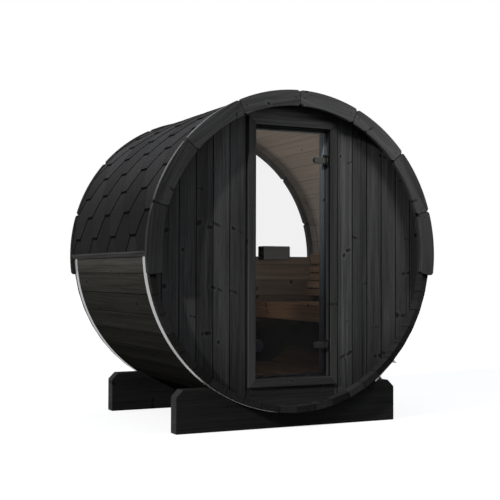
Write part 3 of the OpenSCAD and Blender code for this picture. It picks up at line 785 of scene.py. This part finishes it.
def flat_tab():
    tab = bmesh.new()
    cut = tab.faces.layers.float.new("cut")
    side = TAB_PITCH / 2
    right = ((TAB_FOOT, 0.0), (TAB_HALF, COURSE), (side, COURSE), (side, COURSE * TAB_TALL))
    left = [(-y, s) for y, s in reversed(right)]
    tab.faces.new([tab.verts.new((y, s, 0.0)) for y, s in (left[-1], *right, *left[:-1])])
    for line in TAB_LINES:
        bmesh.ops.bisect_plane(
            tab, geom=everything(tab), dist=1e-6, plane_co=(0, COURSE * line, 0), plane_no=(0, 1, 0)
        )
    raised = bmesh.ops.extrude_face_region(tab, geom=tab.faces[:])
    top = [v for v in raised["geom"] if isinstance(v, bmesh.types.BMVert)]
    bmesh.ops.translate(tab, verts=top, vec=(0, 0, FELT))
    face_up = [f for f in raised["geom"] if isinstance(f, bmesh.types.BMFace)]
    border = bmesh.ops.inset_region(
        tab, faces=face_up, thickness=TAB_BORDER, use_even_offset=True, use_boundary=True
    )
    # Sides are dark bitumen. The border and a strip along the foot are painted dark: partly bare bitumen,
    # partly painted shadow along the tab's lower edges.
    for face in tab.faces:
        foot = face.calc_center_median().y < COURSE * FOOT_STRIP
        face[cut] = FOOT_SHADE if foot else float(abs(face.normal.z) < 0.5)
    for face in border["faces"]:
        if face[cut] < 1.0:
            face[cut] = BORDER_SHADE
    return tab


def shingle_side(sign):
    side = bmesh.new()
    tone = side.verts.layers.float.new("tone")
    for row in ROWS:
        for number in ROW_TABS:
            tab = flat_tab()
            curl = luck.uniform(0.0, 0.0009)
            twist = luck.uniform(-0.004, 0.004)
            centre = ROW_OFFSETS[row % 2] + TAB_PITCH * number
            for vert in tab.verts:
                y, s, h = vert.co
                lift = max(0.0, 2.0 - s / COURSE) * LAP
                lift += max(0.0, 1.0 - s / COURSE) ** 2 * (curl + twist * y * 2)
                turn = FIRST_ROW + row * COURSE_ANGLE + s / ROOF_R
                reach = ROOF_R + lift + h
                vert.co = (sign * reach * math.cos(turn), centre + y, AXIS_Z + reach * math.sin(turn))
            level = luck.random()
            grown = bpy.data.meshes.new("tab")
            tab.to_mesh(grown)
            tab.free()
            first = len(side.verts)
            side.from_mesh(grown)
            bpy.data.meshes.remove(grown)
            side.verts.ensure_lookup_table()
            for vert in side.verts[first:]:
                vert[tone] = level
    trim_off(side, (0, -ROOF_END, 0), (0, -1, 0))
    trim_off(side, (0, ROOF_END, 0), (0, 1, 0))
    trim_off(side, (0, 0, AXIS_Z), (0, 0, -1))
    trim_off(side, (sign * 0.0005, 0, 0), (-sign, 0, 0))
    bmesh.ops.recalc_face_normals(side, faces=side.faces[:])
    return side


for side, sign in (("left", -1), ("right", 1)):
    shingles = shingle_side(sign)
    set_piece(shingles, f"roof_{side}_shingles", felt_finish, stands_for=[f"roof_{side}"])

# Ridge: a row of square caps of the same felt, bent over the top of the roof.
# Each is nailed at its rear end, under the lap of the next one.
CAP_EXPOSED = 0.15
CAP_LONG = CAP_EXPOSED * 1.3
CAP_ANGLE = math.radians(4.5)
CAP_REACH = ROOF_R + 0.0088
ridge = bmesh.new()
ridge_tone = ridge.verts.layers.float.new("tone")
for number in range(11):
    made = bmesh.ops.create_grid(ridge, x_segments=8, y_segments=1, size=0.5)
    level = luck.random()
    near = -ROOF_END + CAP_EXPOSED * number
    for vert in made["verts"]:
        turn = math.pi / 2 - vert.co.x * 2 * CAP_ANGLE
        far = vert.co.y + 0.5
        reach = CAP_REACH + LAP * (1.4 - far * 1.4)
        vert.co = (reach * math.cos(turn), near + far * CAP_LONG, AXIS_Z + reach * math.sin(turn))
        vert[ridge_tone] = level
bmesh.ops.solidify(ridge, geom=ridge.faces[:], thickness=-FELT)
trim_off(ridge, (0, ROOF_END, 0), (0, 1, 0))
bmesh.ops.recalc_face_normals(ridge, faces=ridge.faces[:])
set_piece(ridge, "roof_ridge_caps", felt_finish, stands_for=["roof_ridge"])

# Eaves: a softwood batten nailed along each side under the lowest course.
# It is planed to a drip edge and has the charcoal stain of the door frame.
for side in ("left", "right"):
    batten = solid_copy(f"eaves_{side}")
    ease(batten, 0.0012, 1)
    grain_frame(batten, LONG_Y, LONG_X)
    set_piece(batten, f"eaves_{side}_batten", charcoal, stands_for=[f"eaves_{side}"])

# Arched trim: eight sawn segments at each end, screwed over the stave ends to hide the shingles' edge.
# Their corners are rounded and the joints are left a little open. The front ones' outer rims carry a
# painted highlight towards the top, and the rear ones' outer rims painted shade. The rear ones are painted
# paler as painted light where they stand free inside the staves.
ARCH_RIM = 1.0185
ARCH_CORNER = 0.006
ARCH_EDGE = 0.003
RIM_HIGHLIGHT = 7.5


def round_arch(middle):
    return Vector((-(middle.z - AXIS_Z), 0.0, middle.x))


def outer_corner(edge):
    run = edge.verts[0].co - edge.verts[1].co
    return abs(run.y) > 0.99 * run.length and from_axis(edge.verts[0].co).length > 1.0


def arch_tone(middle):
    rise = middle.z - AXIS_Z
    return 0.22 + 0.06 * middle.x + 0.115 * rise + 0.82 * rise * rise + luck.uniform(-0.08, 0.08)


def rim_highlight_and_shade(place, rise):
    return RIM_HIGHLIGHT * min(1.0, max(0.0, rise - 0.2) / 0.25) if place == "front" else -1.0


trim_finish, trim_shader, trim_tap = new_finish("arched_trim_wood")
trim_place = trim_tap.place()
trim_y = trim_place.part(1)
trim_reach = trim_place.part(0).reach(trim_place.part(2) - AXIS_Z)
rear_rim_light_band = trim_y.ramp(0.70, 0.72) * (1.0 - trim_y.ramp(0.754, 0.760))
# The rear segments are painted up to six times paler where they stand inside the staves: painted light.
sawn_grain(
    trim_tap,
    trim_shader,
    srgb(64, 64, 64),
    srgb(30, 30, 30),
    srgb(14, 14, 14),
    painted_light_and_joints=1.0 + rear_rim_light_band * (1.0 - trim_reach.ramp(0.955, 0.968)) * 5.0,
    spread=0.9,
)
for place in ("front", "rear"):
    for side in ("left", "right"):
        node = f"{place}_arch_{side}"
        arch = solid_copy(node)
        ease(arch, ARCH_CORNER, 3, outer_corner)
        ease(arch, ARCH_EDGE)
        wear_and_light = arch.faces.layers.float["wear_and_light"]
        for face in arch.faces:
            middle = face.calc_center_median()
            spot = from_axis(middle)
            # Outer rims: a painted highlight on the front arches, growing towards the top, and painted shade
            # on the rear ones.
            if spot.length > ARCH_RIM:
                face[wear_and_light] = rim_highlight_and_shade(place, spot.z)
            elif abs(face.normal.dot(round_arch(middle).normalized())) > 0.35:
                face[wear_and_light] = -2.0
        grain_frame(arch, round_arch, LONG_Y, arch_tone)
        set_piece(arch, f"{node}_segments", trim_finish, stands_for=[node])

# Screws: black pan heads near both ends of every arched segment, each with a shallow socket.
# They are steel, turned in by hand, and hold the segments to the ends of the staves.
SCREW_RING = 0.972
SCREW_Y = 0.7797
FIRST_JOINT_DEG = -8.0
SEGMENT_DEG = 24.5
SCREW_IN_DEG = 1.9
HEAD_R = 0.0052
HEAD_STEPS = ((0.0012, 0.0014), (0.0016, -0.0009))
head = bmesh.new()
bmesh.ops.create_circle(head, cap_ends=True, segments=12, radius=HEAD_R)
for rim, rise in HEAD_STEPS:
    cap = max(head.faces, key=lambda face: len(face.verts))
    bmesh.ops.inset_region(head, faces=[cap], thickness=rim, use_even_offset=True, use_boundary=True)
    cap = max(head.faces, key=lambda face: len(face.verts))
    bmesh.ops.translate(head, verts=cap.verts[:], vec=(0, 0, rise))
screw_head = bpy.data.meshes.new("screw_head")
head.to_mesh(screw_head)
head.free()
screws = bmesh.new()
for end in (-1, 1):
    for segment in range(8):
        start = FIRST_JOINT_DEG + SEGMENT_DEG * segment
        for turn in (start + SCREW_IN_DEG, start + SEGMENT_DEG - SCREW_IN_DEG):
            angle = math.radians(turn)
            spot = (SCREW_RING * math.cos(angle), end * SCREW_Y, AXIS_Z + SCREW_RING * math.sin(angle))
            screw = screw_head.copy()
            screw.transform(Matrix.Translation(spot) @ Matrix.Rotation(-end * math.pi / 2, 4, "X"))
            screws.from_mesh(screw)
            bpy.data.meshes.remove(screw)
bpy.data.meshes.remove(screw_head)
screw_finish = moulded("black_screw_steel", srgb(14, 14, 14), srgb(24, 24, 24), 0.4, 0.1)
set_piece(screws, "arch_screws", screw_finish)

# Studio: a pale floor and white surroundings, with soft light from above and the left.
# The floor looks white to the camera and keeps the shadow; it sends little light up at the barrel.


def seen_by_eye(tap):
    straight = tap.node("ShaderNodeLightPath", {}, {}, 0)
    mirrored = tap.node("ShaderNodeLightPath", {}, {}, 3)
    through = tap.node("ShaderNodeLightPath", {}, {}, 6)
    return tap.calc("MAXIMUM", straight, tap.calc("MAXIMUM", mirrored, through))


floor_mesh = bpy.data.meshes.new("studio_floor")
floor_disc = bmesh.new()
bmesh.ops.create_circle(floor_disc, cap_ends=True, segments=64, radius=90.0)
floor_disc.to_mesh(floor_mesh)
floor_disc.free()
floor = bpy.data.objects.new("studio_floor", floor_mesh)
floor.location.z = -0.0005
bpy.context.scene.collection.objects.link(floor)
floor_finish, _, floor_tap = new_finish("pale_studio_floor")
floor_mesh.materials.append(floor_finish)
pale = floor_tap.node("ShaderNodeBsdfDiffuse", {}, {"Color": (0.22, 0.22, 0.22, 1.0)})
glow = floor_tap.node("ShaderNodeEmission", {}, {"Color": (1.0, 1.0, 1.0, 1.0), "Strength": 0.8})
lit = floor_tap.node("ShaderNodeAddShader", {}, {0: pale, 1: glow})
dull = floor_tap.node("ShaderNodeBsdfDiffuse", {}, {"Color": (0.04, 0.04, 0.04, 1.0)})
floor_look = floor_tap.node("ShaderNodeMixShader", {}, {0: seen_by_eye(floor_tap), 1: dull, 2: lit})
floor_look.into(floor_tap.tree.nodes["Material Output"], "Surface")

world = bpy.data.worlds.new("studio")
bpy.context.scene.world = world
world.use_nodes = True
backdrop = world.node_tree.nodes["Background"]
sky = Tap(world.node_tree)
sky_seen = seen_by_eye(sky)
sky_seen.mix((0.94, 0.98, 1.06, 1.0), (1.0, 1.0, 1.0, 1.0)).into(backdrop, "Color")
sky_height = sky.calc("MAXIMUM", sky.node("ShaderNodeTexCoord", {}, {}, 0).part(2), 0.0)
dome = 0.28 + sky_height * 0.8
(dome + (1.0 - dome) * sky_seen).into(backdrop, "Strength")


def hang(light, start, target):
    lamp = bpy.data.objects.new(light.name, light)
    lamp.location = start
    lamp.rotation_euler = (Vector(target) - Vector(start)).to_track_quat("-Z", "Y").to_euler()
    lamp.visible_camera = False
    bpy.context.scene.collection.objects.link(lamp)


sun = bpy.data.lights.new("soft_sun", "SUN")
sun.energy = 3.0
sun.angle = math.radians(2.5)
sun.color = (1.0, 0.985, 0.96)
hang(sun, (0.0, 0.0, 0.0), (0.842, 0.295, -0.451))

panel = bpy.data.lights.new("right_panel", "AREA")
panel.shape = "DISK"
panel.size = 0.7
panel.energy = 24.5
hang(panel, (1.52, -1.84, 2.32), (0.5, -0.75, 1.2))

CABIN_BEAMS = (
    ("ceiling_beam", (-0.5, 0.05, 1.08), (0.45, -0.1, 1.8), 92, 13.5),
    ("bench_beam", (-0.45, -0.3, 0.95), (0.45, 0.45, 0.78), 46, 7.0),
)
for name, start, target, cone, power in CABIN_BEAMS:
    beam = bpy.data.lights.new(name, "SPOT")
    beam.shadow_soft_size = 0.12
    beam.spot_size = math.radians(cone)
    beam.spot_blend = 0.7
    beam.energy = power
    beam.color = (1.0, 0.97, 0.93)
    hang(beam, start, target)

CAMERA_PLACE = (-3.1361, -6.4658, 0.9681)
CAMERA_TURN = -0.4557
CAMERA_RISE = 0.0228
CAMERA_ROLL = 0.0025
camera = bpy.data.cameras.new("camera")
camera.sensor_width = 36.0
camera.lens = 74.82
viewer = bpy.data.objects.new("camera", camera)
viewer.matrix_world = (
    Matrix.Translation(CAMERA_PLACE)
    @ Matrix.Rotation(CAMERA_TURN, 4, "Z")
    @ Matrix.Rotation(math.pi / 2 + CAMERA_RISE, 4, "X")
    @ Matrix.Rotation(CAMERA_ROLL, 4, "Z")
)
bpy.context.scene.collection.objects.link(viewer)
bpy.context.scene.camera = viewer
bpy.context.scene.view_settings.view_transform = "Standard"
